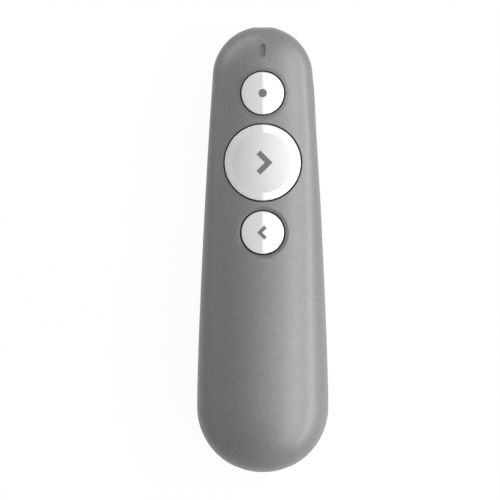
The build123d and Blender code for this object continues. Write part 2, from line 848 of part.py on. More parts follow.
half_grip = grip_width / 2
half_plug = plug_width / 2
plug_low = grip_z - plug_height / 2
plug_high = grip_z + plug_height / 2
tongue_low = plug_low + plug_sheet
tongue_high = tongue_low + plug_tongue_height

with BuildPart() as receiver_grip:
    span_box((-half_grip, half_grip), (tail_tip, plug_rear),
             (grip_z - grip_height / 2, grip_z + grip_height / 2))
    fillet(receiver_grip.edges().filter_by(Axis.Y), radius=plug_sheet * 2)
    add(casing_form(grip_sink), mode=Mode.INTERSECT)
    span_box((-half_plug, half_plug), (tail_tip, tail_tip + grip_sink + nail_groove_depth),
             (grip_z - nail_groove_height / 2, grip_z + nail_groove_height / 2), Mode.SUBTRACT)
finish(receiver_grip, "receiver_grip")

with BuildPart() as receiver_plug_shell:
    span_box((-half_plug, half_plug), (plug_rear, plug_front), (plug_low, plug_high))
    span_box((plug_sheet - half_plug, half_plug - plug_sheet), (plug_rear, plug_front),
             (plug_low + plug_sheet, plug_high - plug_sheet), Mode.SUBTRACT)
finish(receiver_plug_shell, "receiver_plug_shell")

with BuildPart() as receiver_tongue:
    span_box((plug_sheet - half_plug, half_plug - plug_sheet), (plug_rear, plug_front - plug_tongue_setback),
             (tongue_low, tongue_high))
finish(receiver_tongue, "receiver_tongue")

with BuildPart() as receiver_contacts:
    contact_y = plug_front - plug_tongue_setback * 2 - plug_contact_length / 2
    with Locations((0, contact_y, tongue_high + plug_contact_thickness / 2)):
        with GridLocations(plug_contact_pitch, plug_contact_length, plug_contact_count, 1):
            Box(plug_contact_width, plug_contact_length, plug_contact_thickness)
finish(receiver_contacts, "receiver_contacts")

with BuildPart() as receiver_dock:
    dock_x = half_grip + slide_gap + dock_wall
    dock_z = grip_height / 2 + slide_gap + dock_wall
    span_box((-dock_x, dock_x), (plug_rear - dock_collar, dock_front), (grip_z - dock_z, grip_z + dock_z))
    span_box((-half_grip - slide_gap, half_grip + slide_gap), (tail_tip, plug_rear + slide_gap),
             (grip_z - grip_height / 2 - slide_gap, grip_z + grip_height / 2 + slide_gap), Mode.SUBTRACT)
    span_box((-half_plug - slide_gap, half_plug + slide_gap), (tail_tip, plug_front + dock_end_gap),
             (plug_low - slide_gap, plug_high + slide_gap), Mode.SUBTRACT)
finish(receiver_dock, "receiver_dock")


# ---- Screws -------------------------------------------------------------------------------

def screws(name, places, seat, head_radius, head_height, shank_radius, shank_length, recess_depth=0.3):
    """Pan-head screws that point up, with their heads under the height of their seat."""
    with BuildPart() as group:
        for x, y in places:
            column(x, y, head_radius, seat - head_height, seat)
            column(x, y, shank_radius, seat, seat + shank_length)
            for turn in (0, 90):
                with Locations((x, y, seat - head_height + recess_depth / 2)):
                    Box(head_radius, head_radius / 3, recess_depth, rotation=(0, 0, turn), mode=Mode.SUBTRACT)
    finish(group, name)


screws("case_screws", case_posts, door_tail_height + seam_gap + case_head_sink, case_head_radius,
       case_head_height, case_screw_radius, case_screw_length)
screws("board_screws", board_posts, board_bottom, board_head_radius, board_head_height,
       board_screw_radius, board_screw_length)
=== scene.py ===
"""Looks of a handheld wireless presentation clicker: casing, keys, finishes and a plain studio.

The clicker lies on its underside. +Y runs to the laser nose, +X to the right and +Z up through
the keys. Sizes in the classes are millimetres; every finished mesh is in metres.
"""

import json
import logging
import math
from collections.abc import Callable
from dataclasses import dataclass
from enum import Enum
from functools import lru_cache

import bmesh
import bpy
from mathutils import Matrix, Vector


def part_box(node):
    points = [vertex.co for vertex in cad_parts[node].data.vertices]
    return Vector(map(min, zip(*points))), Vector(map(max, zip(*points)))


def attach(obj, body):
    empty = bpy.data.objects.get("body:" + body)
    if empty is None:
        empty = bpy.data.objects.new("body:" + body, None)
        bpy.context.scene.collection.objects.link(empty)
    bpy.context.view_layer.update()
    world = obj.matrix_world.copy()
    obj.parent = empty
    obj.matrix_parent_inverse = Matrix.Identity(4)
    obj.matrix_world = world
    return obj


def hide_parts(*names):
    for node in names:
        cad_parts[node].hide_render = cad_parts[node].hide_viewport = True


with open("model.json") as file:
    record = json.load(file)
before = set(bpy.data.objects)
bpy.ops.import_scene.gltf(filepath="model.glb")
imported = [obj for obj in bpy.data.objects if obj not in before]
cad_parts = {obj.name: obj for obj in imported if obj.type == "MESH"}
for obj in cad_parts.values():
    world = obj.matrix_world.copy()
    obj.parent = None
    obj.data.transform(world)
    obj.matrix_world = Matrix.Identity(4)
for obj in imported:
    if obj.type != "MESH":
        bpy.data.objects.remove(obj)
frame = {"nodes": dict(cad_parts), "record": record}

Colour = tuple[float, float, float]
Socket = bpy.types.NodeSocket
Sockets = dict[str, Socket]
Pairs = list[tuple[float, float]]

LOG = logging.getLogger("clicker")
MM = 0.001
CASING = "casing"
WALL = "wall"
BLACK = (0.0, 0.0, 0.0)
WORN_FROM, WORN_TO = 0.52, 0.62  # pointiness at which wear starts and is full
MOTTLE_CELLS = 55.0  # of noise in a metre
CLOUD_CELLS = 420.0
BRUSH_CELLS = (9000.0, 260.0, 9000.0)  # along x, y and z


# ---- Shader node groups ----

class Graph:
    """A node tree with short calls for adding and joining nodes."""

    def __init__(self, tree: bpy.types.NodeTree) -> None:
        """Wraps a node tree.

        Args:
            tree: The tree that nodes are added to.
        """
        self.tree = tree

    def add(self, kind: str, **values: object) -> bpy.types.Node:
        """Adds a node and sets its properties and unlinked inputs.

        Args:
            kind: The node's type name.
            **values: Property names, or input names with spaces written as underscores.

        Returns:
            The new node.
        """
        node = self.tree.nodes.new(kind)
        for name, value in values.items():
            if hasattr(node, name):
                setattr(node, name, value)
            else:
                node.inputs[name.replace("_", " ")].default_value = value
        return node

    def join(self, source: Socket, target: Socket) -> None:
        """Links one socket to another."""
        self.tree.links.new(source, target)

    def math(self, operation: str, *terms: object) -> Socket:
        """Adds a Math node.

        Args:
            operation: The Math node's operation.
            *terms: A socket or a number for each input.

        Returns:
            The result's socket.
        """
        node = self.add("ShaderNodeMath", operation=operation)
        for place, term in enumerate(terms):
            if isinstance(term, Socket):
                self.join(term, node.inputs[place])
            else:
                node.inputs[place].default_value = term
        return node.outputs[0]

    def mix(self, factor: object, first: object, second: object) -> Socket:
        """Mixes two colours.

        Args:
            factor: A socket or number, 0 for the first colour.
            first: A socket or colour.
            second: A socket or colour.

        Returns:
            The mixed colour's socket.
        """
        node = self.add("ShaderNodeMix", data_type="RGBA")
        colours = [socket for socket in node.inputs if socket.type == "RGBA"]
        for socket, term in zip((node.inputs[0], *colours), (factor, first, second)):
            if isinstance(term, Socket):
                self.join(term, socket)
            elif isinstance(term, tuple):
                socket.default_value = (*term, 1.0)
            else:
                socket.default_value = term
        return node.outputs[2]

    def noise(self, where: Socket, scale: float, detail: float) -> Socket:
        """Adds a noise texture.

        Args:
            where: The coordinates.
            scale: Cells per metre.
            detail: Octaves of finer noise.

        Returns:
            Its value's socket.
        """
        node = self.add("ShaderNodeTexNoise", Scale=scale, Detail=detail)
        self.join(where, node.inputs["Vector"])
        return node.outputs[0]


def surface_group(name: str, inputs: dict[str, float]) -> tuple[Graph, dict, bpy.types.NodeTree]:
    """Starts a node group with float inputs and the outputs that every surface group has.

    Args:
        name: The group's name.
        inputs: The input names with their defaults.

    Returns:
        The group's graph, its input sockets by name, and the tree.
    """
    tree = bpy.data.node_groups.new(name, "ShaderNodeTree")
    tree.interface.new_socket("Colour", in_out="INPUT", socket_type="NodeSocketColor")
    for label, default in inputs.items():
        socket = tree.interface.new_socket(label, in_out="INPUT", socket_type="NodeSocketFloat")
        socket.default_value = default
    tree.interface.new_socket("Colour", in_out="OUTPUT", socket_type="NodeSocketColor")
    tree.interface.new_socket("Roughness", in_out="OUTPUT", socket_type="NodeSocketFloat")
    tree.interface.new_socket("Height", in_out="OUTPUT", socket_type="NodeSocketFloat")
    graph = Graph(tree)
    entry = graph.add("NodeGroupInput")
    return graph, {socket.name: socket for socket in entry.outputs}, tree


def moulded_group() -> bpy.types.NodeTree:
    """Moulded plastic: fine speckle, slow mottling, worn edges and a grain to bump.

    Returns:
        The node group.
    """
    graph, given, tree = surface_group("moulded_surface", {
        "Roughness": 0.5, "Speckle": 0.1, "Mottle": 0.05, "Grain": 6000.0, "Wear": 0.1})
    place = graph.add("ShaderNodeTexCoord").outputs["Object"]
    fine = graph.add("ShaderNodeTexNoise", Detail=2.0, Roughness=0.6)
    graph.join(place, fine.inputs["Vector"])
    graph.join(given["Grain"], fine.inputs["Scale"])
    slow = graph.noise(place, MOTTLE_CELLS, 3.0)
    edges = graph.add("ShaderNodeMapRange", From_Min=WORN_FROM, From_Max=WORN_TO)
    graph.join(graph.add("ShaderNodeNewGeometry").outputs["Pointiness"], edges.inputs["Value"])
    specks, patches = (graph.math("SUBTRACT", value, 0.5) for value in (fine.outputs[0], slow))
    speckled = graph.math("MULTIPLY", specks, given["Speckle"])
    mottled = graph.math("MULTIPLY", patches, given["Mottle"])
    worn = graph.math("MULTIPLY", edges.outputs[0], given["Wear"])
    shift = graph.math("ADD", graph.math("ADD", speckled, mottled), worn)
    tone = graph.add("ShaderNodeHueSaturation")
    graph.join(given["Colour"], tone.inputs["Color"])
    graph.join(graph.math("ADD", shift, 1.0), tone.inputs["Value"])
    leave = graph.add("NodeGroupOutput")
    graph.join(tone.outputs[0], leave.inputs["Colour"])
    graph.join(graph.math("SUBTRACT", given["Roughness"], mottled), leave.inputs["Roughness"])
    graph.join(fine.outputs[0], leave.inputs["Height"])
    return tree


def metal_group() -> bpy.types.NodeTree:
    """Metal: brush lines along Y, cloudy tarnish and a fine height to bump.

    Returns:
        The node group.
    """
    graph, given, tree = surface_group("metal_surface", {
        "Roughness": 0.3, "Brush": 0.2, "Tarnish": 0.2})
    place = graph.add("ShaderNodeTexCoord").outputs["Object"]
    stretch = graph.add("ShaderNodeMapping", Scale=BRUSH_CELLS)
    graph.join(place, stretch.inputs["Vector"])
    lines = graph.noise(stretch.outputs[0], 1.0, 3.0)
    clouds = graph.noise(place, CLOUD_CELLS, 4.0)
    dull = graph.math("MULTIPLY", clouds, given["Tarnish"])
    brushed = graph.math("MULTIPLY", graph.math("SUBTRACT", lines, 0.5), given["Brush"])
    tone = graph.add("ShaderNodeHueSaturation")
    graph.join(given["Colour"], tone.inputs["Color"])
    graph.join(graph.math("ADD", graph.math("SUBTRACT", 1.0, dull), brushed), tone.inputs["Value"])
    leave = graph.add("NodeGroupOutput")
    graph.join(tone.outputs[0], leave.inputs["Colour"])
    graph.join(graph.math("ADD", given["Roughness"], graph.math("ADD", dull, brushed)),
               leave.inputs["Roughness"])
    graph.join(lines, leave.inputs["Height"])
    return tree


# ---- Finishes ----

class Effect(Enum):
    """The shared node group that a finish is built on."""

    MOULDED = "moulded_surface"
    METAL = "metal_surface"


@dataclass(frozen=True)
class Finish:
    """A finish whose colour, roughness and bump come from a shared effect.

    Attributes:
        name: The material's name.
        effect: The node group that varies the surface.
        colour: Linear base colour.
        settings: Values for the group's float inputs.
        shader: Values set on the shader's own sockets.
        bump: Height of the grain, in metres.
    """

    name: str
    effect: Effect
    colour: Colour
    settings: dict[str, float]
    shader: dict[str, float]
    bump: float

    def material(self) -> bpy.types.Material:
        """Builds the material.

        Returns:
            The finished material.
        """
        material = bpy.data.materials.new(self.name)
        material.use_nodes = True
        graph = Graph(material.node_tree)
        shader = material.node_tree.nodes["Principled BSDF"]
        for label, value in self.shader.items():
            shader.inputs[label].default_value = value
        group = graph.add("ShaderNodeGroup", node_tree=bpy.data.node_groups[self.effect.value])
        group.inputs["Colour"].default_value = (*self.colour, 1.0)
        for label, value in self.settings.items():
            group.inputs[label].default_value = value
        bump = graph.add("ShaderNodeBump", Strength=1.0, Distance=self.bump)
        graph.join(group.outputs["Height"], bump.inputs["Height"])
        graph.join(bump.outputs[0], shader.inputs["Normal"])
        varied = {"Base Color": group.outputs["Colour"], "Roughness": group.outputs["Roughness"]}
        for label, socket in self.places(graph, varied).items():
            graph.join(socket, shader.inputs[label])
        return material

    def places(self, graph: Graph, varied: Sockets) -> Sockets:
        """Lets a finish differ from place to place on its piece.

        Args:
            graph: The material's graph.
            varied: The colour and roughness as the effect varied them, by shader input.

        Returns:
            The sockets that reach the shader, by shader input.
        """
        return varied


def within(graph: Graph, middle: float, radius: float) -> Socket:
    """Marks what lies inside an upright cylinder on the crown line.

    Args:
        graph: The material's graph.
        middle: The cylinder's y, in millimetres.
        radius: Its radius, in millimetres.

    Returns:
        A mask, 1 inside.
    """
    flat = graph.add("ShaderNodeMapping", Location=(0.0, -middle * MM, 0.0), Scale=(1.0, 1.0, 0.0))
    graph.join(graph.add("ShaderNodeTexCoord").outputs["Object"], flat.inputs["Vector"])
    reach = graph.add("ShaderNodeVectorMath", operation="LENGTH")
    graph.join(flat.outputs[0], reach.inputs[0])
    return graph.math("LESS_THAN", reach.outputs["Value"], radius * MM)


@dataclass(frozen=True)
class RingShadeFinish(Finish):
    """A grained finish with painted shade in the rings sunk round two holes.

    Attributes:
        middles: The y of each ring, in millimetres.
        radius: The rings' outer radius, in millimetres.
        shade: How much the painted shade darkens their colour, in place of the shade that the key
            and the step cast.
    """

    middles: tuple[float, float] = (0.0, 0.0)
    radius: float = 1.0
    shade: float = 0.24

    def places(self, graph: Graph, varied: Sockets) -> Sockets:
        """Paints shade into the rings.

        Args:
            graph: The material's graph.
            varied: The colour and roughness as the effect varied them, by shader input.

        Returns:
            The sockets that reach the shader, by shader input.
        """
        # painted shade: the base colour is darkened inside the rings round the laser and back keys
        rings = (within(graph, middle, self.radius) for middle in self.middles)
        shade = graph.math("MULTIPLY", graph.math("MAXIMUM", *rings), self.shade)
        return {**varied, "Base Color": graph.mix(shade, varied["Base Color"], BLACK)}


@dataclass(frozen=True)
class DishedFinish(Finish):
    """A polished finish with a satin round dish in its top, whose colour is darkened as painted
    shade.

    Attributes:
        middle: The dish's y, in millimetres.
        radius: The dish's radius, in millimetres.
        satin: Roughness inside the dish.
        shade: How much the painted shade darkens the dish's colour.
    """

    middle: float = 0.0
    radius: float = 1.0
    satin: float = 0.3
    shade: float = 0.22

    def places(self, graph: Graph, varied: Sockets) -> Sockets:
        """Makes the dish satin and paints shade into its colour.

        Args:
            graph: The material's graph.
            varied: The colour and roughness as the effect varied them, by shader input.

        Returns:
            The sockets that reach the shader, by shader input.
        """
        inside = within(graph, self.middle, self.radius)
        dulled = graph.math("MULTIPLY", inside, self.satin)
        # the satin roughness is real; the darker dish colour is painted shade
        shaded_dish_colour = tuple(value * (1 - self.shade) for value in self.colour)
        return {"Base Color": graph.mix(inside, varied["Base Color"], shaded_dish_colour),
                "Roughness": graph.math("MAXIMUM", varied["Roughness"], dulled)}


@dataclass(frozen=True)
class CellFinish(Finish):
    """Printed jackets of two cells that lie head to tail, with bare steel ends.

    Attributes:
        steel: Linear colour of the bare ends.
        band: Linear colour of the print round the end with the nub.
        middle: The y halfway along the two cells, in millimetres.
        band_start: How far from there the print starts, in millimetres.
        end_facing: How far a face has to point along the cells to be an end.
    """

    steel: Colour = (0.62, 0.62, 0.6)
    band: Colour = (0.42, 0.2, 0.06)
    middle: float = -14.05
    band_start: float = 16.0
    end_facing: float = 0.6

    def places(self, graph: Graph, varied: Sockets) -> Sockets:
        """Prints the band and bares the ends.

        Args:
            graph: The material's graph.
            varied: The colour and roughness as the effect varied them, by shader input.

        Returns:
            The sockets that reach the shader, by shader input.
        """
        coords = graph.add("ShaderNodeTexCoord")
        facing = graph.add("ShaderNodeSeparateXYZ")
        graph.join(coords.outputs["Normal"], facing.inputs[0])
        steep = graph.math("ABSOLUTE", facing.outputs["Y"])
        bare = graph.math("GREATER_THAN", steep, self.end_facing)
        place = graph.add("ShaderNodeSeparateXYZ")
        graph.join(coords.outputs["Object"], place.inputs[0])
        along = graph.math("SUBTRACT", self.middle * MM, place.outputs["Y"])
        nubward = graph.math("MULTIPLY", along, graph.math("SIGN", place.outputs["X"]))
        printed = graph.math("GREATER_THAN", nubward, self.band_start * MM)
        jacket = graph.mix(printed, varied["Base Color"], self.band)
        return {**varied, "Base Color": graph.mix(bare, jacket, self.steel), "Metallic": bare}


def plastic(name: str, colour: Colour, roughness: float, **settings: float) -> Finish:
    """A moulded plastic finish.

    Args:
        name: The material's name.
        colour: Linear base colour.
        roughness: The mean roughness.
        **settings: Effect inputs by name, "bump" in metres, and the shader's "ior" and "coat".

    Returns:
        The finish.
    """
    bump = settings.pop("bump", 2e-6)
    shader = {"IOR": settings.pop("ior", 1.48), "Coat Weight": settings.pop("coat", 0.0),
              "Coat Roughness": 0.12}
    return Finish(name, Effect.MOULDED, colour, {"Roughness": roughness, **settings}, shader, bump)


def metal(name: str, colour: Colour, roughness: float, brush: float = 0.15,
          tarnish: float = 0.15) -> Finish:
    """A bare metal finish.

    Args:
        name: The material's name.
        colour: Linear reflection colour.
        roughness: The mean roughness.
        brush: How much the brush lines show.
        tarnish: How cloudy the metal is.

    Returns:
        The finish.
    """
    settings = {"Roughness": roughness, "Brush": brush, "Tarnish": tarnish}
    return Finish(name, Effect.METAL, colour, settings, {"Metallic": 1.0}, 1e-6)


FINISHES = {
    "casing_grey": plastic("casing_grey", (0.12, 0.12, 0.12), 0.4, Speckle=2.4, Mottle=0.04,
                           Grain=6000.0, Wear=0.08, bump=4e-6, ior=1.6),
    "key_white": plastic("key_white", (0.485, 0.485, 0.485), 0.07, Speckle=0.02, Mottle=0.01,
                         Wear=0.0, bump=1e-7, ior=2.3),
    "mark_grey": plastic("mark_grey", (0.098, 0.098, 0.098), 0.5, Speckle=0.1, Wear=0.0),
    "black_plastic": plastic("black_plastic", (0.022, 0.022, 0.024), 0.42, Speckle=0.3,
                             Grain=3800.0, Wear=0.6, bump=4e-6),
    "board_green": plastic("board_green", (0.012, 0.11, 0.045), 0.3, Speckle=0.25, Mottle=0.3,
                           Wear=0.3, coat=0.4),
    "switch_black": plastic("switch_black", (0.03, 0.03, 0.032), 0.3, Speckle=0.2, Wear=0.4),
    "chip_black": plastic("chip_black", (0.015, 0.015, 0.016), 0.55, Speckle=0.4, Wear=0.5),
    "ceramic_white": plastic("ceramic_white", (0.6, 0.56, 0.47), 0.45, Speckle=0.2, Wear=0.1),
    "led_clear": plastic("led_clear", (0.85, 0.72, 0.25), 0.15, Mottle=0.2, coat=1.0),
    "pipe_grey": plastic("pipe_grey", (0.108, 0.108, 0.108), 0.3, Mottle=0.1),
    "lens_glass": plastic("lens_glass", (0.75, 0.8, 0.85), 0.06, Mottle=0.05, coat=1.0),
    "window_tint": plastic("window_tint", (0.07, 0.003, 0.004), 0.08, Mottle=0.1),
    "cell_jacket": CellFinish("cell_jacket", Effect.MOULDED, (0.03, 0.032, 0.036),
                              {"Roughness": 0.3, "Mottle": 0.15}, {"Coat Weight": 0.5}, 1e-6),
    "tinned_metal": metal("tinned_metal", (0.78, 0.78, 0.75), 0.25),
    "brass": metal("brass", (0.72, 0.52, 0.22), 0.28),
    "spring_steel": metal("spring_steel", (0.66, 0.65, 0.62), 0.3),
    "screw_steel": metal("screw_steel", (0.3, 0.3, 0.31), 0.35, tarnish=0.3),
    "plug_steel": metal("plug_steel", (0.7, 0.7, 0.7), 0.26, brush=0.25),
    "gold_plate": metal("gold_plate", (0.9, 0.66, 0.26), 0.2),
}


# ---- Studio ----

@dataclass(frozen=True)
class Softbox:
    """A flat rectangular lamp that faces the clicker.

    Attributes:
        name: The lamp's name.
        lean: Degrees from straight above towards +X.
        bearing: Degrees that it is swung from +X towards the nose.
        distance: Metres from the clicker.
        size: Metres across its lean and along it.
        brightness: Radiance of its face, where 1 is a white surface in plain light.
        slide: Metres that it is slid sideways, towards the nose, without being turned.
    """

    name: str
    lean: float
    bearing: float
    distance: float
    size: tuple[float, float]
    brightness: float
    slide: float = 0.0

    def build(self) -> None:
        """Adds the lamp, turned to face the origin."""
        lamp = bpy.data.lights.new(self.name, "AREA")
        lamp.shape = "RECTANGLE"
        lamp.size, lamp.size_y = self.size
        lamp.energy = self.brightness * math.pi * self.size[0] * self.size[1]
        holder = bpy.data.objects.new(self.name, lamp)
        bpy.context.scene.collection.objects.link(holder)
        lean, bearing = math.radians(self.lean), math.radians(self.bearing)
        holder.location = self.distance * Vector((
            math.sin(lean) * math.cos(bearing), math.sin(lean) * math.sin(bearing), math.cos(lean)))
        holder.rotation_euler = holder.location.to_track_quat("Z", "Y").to_euler()
        holder.location.y += self.slide


@dataclass
class Studio:
    """The camera above the clicker, its lamps, the world and the white floor."""

    frame_pixels: float = 500.0
    metres_per_pixel: float = 0.26828e-3
    centre_pixel: tuple[float, float] = (262.7, 249.95)
    lens: float = 1200.0
    sensor: float = 36.0
    outline_height: float = 0.0131
    fill_strength: float = 0.04
    floor_size: float = 5.0
    floor_drop: float = 0.1e-3
    floor_tone: float = 0.8
    floor_roughness: float = 0.9
    floor_glow: float = 0.96
    lamps: tuple[Softbox, ...] = (
        Softbox("roof", 15.0, 0.0, 1.13, (0.95, 0.606), 2.0, slide=0.1),
        Softbox("key_light", 41.0, -4.0, 1.13, (2.3, 0.45), 5.6),
        Softbox("side_light", 75.0, -4.0, 1.13, (2.3, 0.25), 9.5),
        Softbox("left_fill", -80.0, 0.0, 1.13, (2.3, 0.25), 1.1),
        Softbox("nose_fill", 70.0, 122.0, 0.24, (0.24, 0.12), 2.6),
    )

    def camera(self) -> None:
        """Adds the camera, which looks straight down."""
        data = bpy.data.cameras.new("camera")
        data.type = "PERSP"
        data.lens, data.sensor_width = self.lens, self.sensor
        data.shift_x = 0.5 - self.centre_pixel[0] / self.frame_pixels
        data.shift_y = self.centre_pixel[1] / self.frame_pixels - 0.5
        span = self.frame_pixels * self.metres_per_pixel
        camera = bpy.data.objects.new("camera", data)
        camera.location = (0, 0, self.outline_height + span * self.lens / self.sensor)
        bpy.context.scene.collection.objects.link(camera)
        bpy.context.scene.camera = camera

    def seen_directly(self, graph: Graph) -> Socket:
        """Marks what is looked at, and not what light is gathered from.

        Args:
            graph: The graph of a material or of the world.

        Returns:
            A mask, 1 for a camera, mirror or glass ray.
        """
        rays = graph.add("ShaderNodeLightPath")
        seen = graph.math("MAXIMUM", rays.outputs["Is Camera Ray"], rays.outputs["Is Glossy Ray"])
        return graph.math("MAXIMUM", seen, rays.outputs["Is Transmission Ray"])

    def world(self) -> None:
        """White where it is seen, and a weak even fill where it lights."""
        world = bpy.data.worlds.new("studio")
        world.use_nodes = True
        graph = Graph(world.node_tree)
        ground = world.node_tree.nodes["Background"]
        ground.inputs["Color"].default_value = (1.0, 1.0, 1.0, 1.0)
        seen = self.seen_directly(graph)
        graph.join(graph.math("MAXIMUM", seen, self.fill_strength), ground.inputs["Strength"])
        bpy.context.scene.world = world

    def floor(self) -> None:
        """A white floor that keeps a faint shadow, and is clear from below."""
        mesh = bmesh.new()
        bmesh.ops.create_grid(mesh, x_segments=1, y_segments=1, size=self.floor_size / 2)
        bmesh.ops.translate(mesh, vec=(0, 0, -self.floor_drop), verts=mesh.verts)
        floor = to_object(mesh, "floor", scale=1.0)
        material = bpy.data.materials.new("floor_paper")
        material.use_nodes = True
        graph = Graph(material.node_tree)
        paper = material.node_tree.nodes["Principled BSDF"]
        paper.inputs["Base Color"].default_value = (*(self.floor_tone,) * 3, 1.0)
        paper.inputs["Roughness"].default_value = self.floor_roughness
        glow = graph.add("ShaderNodeEmission", Strength=1.0)
        shown = graph.add("ShaderNodeMixShader")
        glowing = graph.math("MULTIPLY", self.seen_directly(graph), self.floor_glow)
        graph.join(glowing, shown.inputs[0])
        graph.join(paper.outputs[0], shown.inputs[1])
        graph.join(glow.outputs[0], shown.inputs[2])
        sided = graph.add("ShaderNodeMixShader")
        graph.join(graph.add("ShaderNodeNewGeometry").outputs["Backfacing"], sided.inputs[0])
        graph.join(shown.outputs[0], sided.inputs[1])
        graph.join(graph.add("ShaderNodeBsdfTransparent").outputs[0], sided.inputs[2])
        leave = material.node_tree.nodes["Material Output"]
        graph.join(sided.outputs[0], leave.inputs["Surface"])
        floor.data.materials.append(material)

    def build(self) -> None:
        """Sets up the whole studio."""
        self.camera()
        self.world()
        self.floor()
        for lamp in self.lamps:
            lamp.build()
        bpy.context.scene.view_settings.view_transform = "Standard"


def to_object(mesh: bmesh.types.BMesh, name: str, scale: float = MM, upward: bool = False,
              smooth: bool = True) -> bpy.types.Object:
    """Turns a bmesh into a linked object at the origin, with its open edges sharp.

    Args:
        mesh: The mesh, freed here.
        name: The object's name.
        scale: Metres per unit of the mesh.
        upward: Whether it is an open skin whose faces have to point up.
        smooth: Whether its faces are shaded smooth.

    Returns:
        The new object.
    """
    bmesh.ops.scale(mesh, vec=(scale, scale, scale), verts=mesh.verts)
    bmesh.ops.recalc_face_normals(mesh, faces=mesh.faces)
    if upward and sum(face.normal.z * face.calc_area() for face in mesh.faces) < 0:
        bmesh.ops.reverse_faces(mesh, faces=mesh.faces)
    for face in mesh.faces:
        face.smooth = smooth
    for edge in mesh.edges:
        edge.smooth = not edge.is_boundary
    data = bpy.data.meshes.new(name)
    mesh.to_mesh(data)
    mesh.free()
    made = bpy.data.objects.new(name, data)
    bpy.context.scene.collection.objects.link(made)
    return made


def grow(mesh: bmesh.types.BMesh, rim: list[bmesh.types.BMEdge]
         ) -> tuple[list[bmesh.types.BMVert], list[bmesh.types.BMEdge]]:
    """Extrudes an open rim once, in place.

    Args:
        mesh: The mesh.
        rim: The rim's edges.

    Returns:
        The new vertices and the new rim.
    """
    grown = bmesh.ops.extrude_edge_only(mesh, edges=rim)["geom"]
    verts = [item for item in grown if isinstance(item, bmesh.types.BMVert)]
    edges = [item for item in grown if isinstance(item, bmesh.types.BMEdge) and item.is_boundary]
    return verts, edges


def corners(edges: list[bmesh.types.BMEdge]) -> set[bmesh.types.BMVert]:
    """The vertices of some edges."""
    return {vert for edge in edges for vert in edge.verts}


# ---- Casing and keys ----

SEARCH_STEPS = 24  # halvings when a share is looked for
CORNER_ANGLES = (22.5, 45, 67.5, 90)  # degrees round every rounded edge
HOLDING_SHARE = 0.3  # of a corner, from its start out to the ring that holds it
APPROACH = (1 / 3, 1 / 2)  # share of the way to its well that each ring round it goes
SEAM_STEPS = ((0.3, 0.7), (0.7, 0.3))  # shares of the seam's corner, inward and down
HALO_DEPTHS = {"laser": 0.08, "back": 0.28}  # of the slopes round the small keys


def bezier(poles: tuple[float, ...], share: float) -> float:
    """One coordinate of a Bezier curve.

    Args:
        poles: The coordinate at each control point.
        share: The curve parameter, from 0 to 1.

    Returns:
        The coordinate there.
    """
    while len(poles) > 1:
        poles = tuple(low + (high - low) * share for low, high in zip(poles, poles[1:]))
    return poles[0]


def share_where(rising: Callable[[float], float], target: float) -> float:
    """Finds where a rising function of a share from 0 to 1 reaches a target.

    Args:
        rising: The function.
        target: The value to reach.

    Returns:
        The share.
    """
    low, high = 0.0, 1.0
    for _ in range(SEARCH_STEPS):
        middle = (low + high) / 2
        if rising(middle) < target:
            low = middle
        else:
            high = middle
    return (low + high) / 2


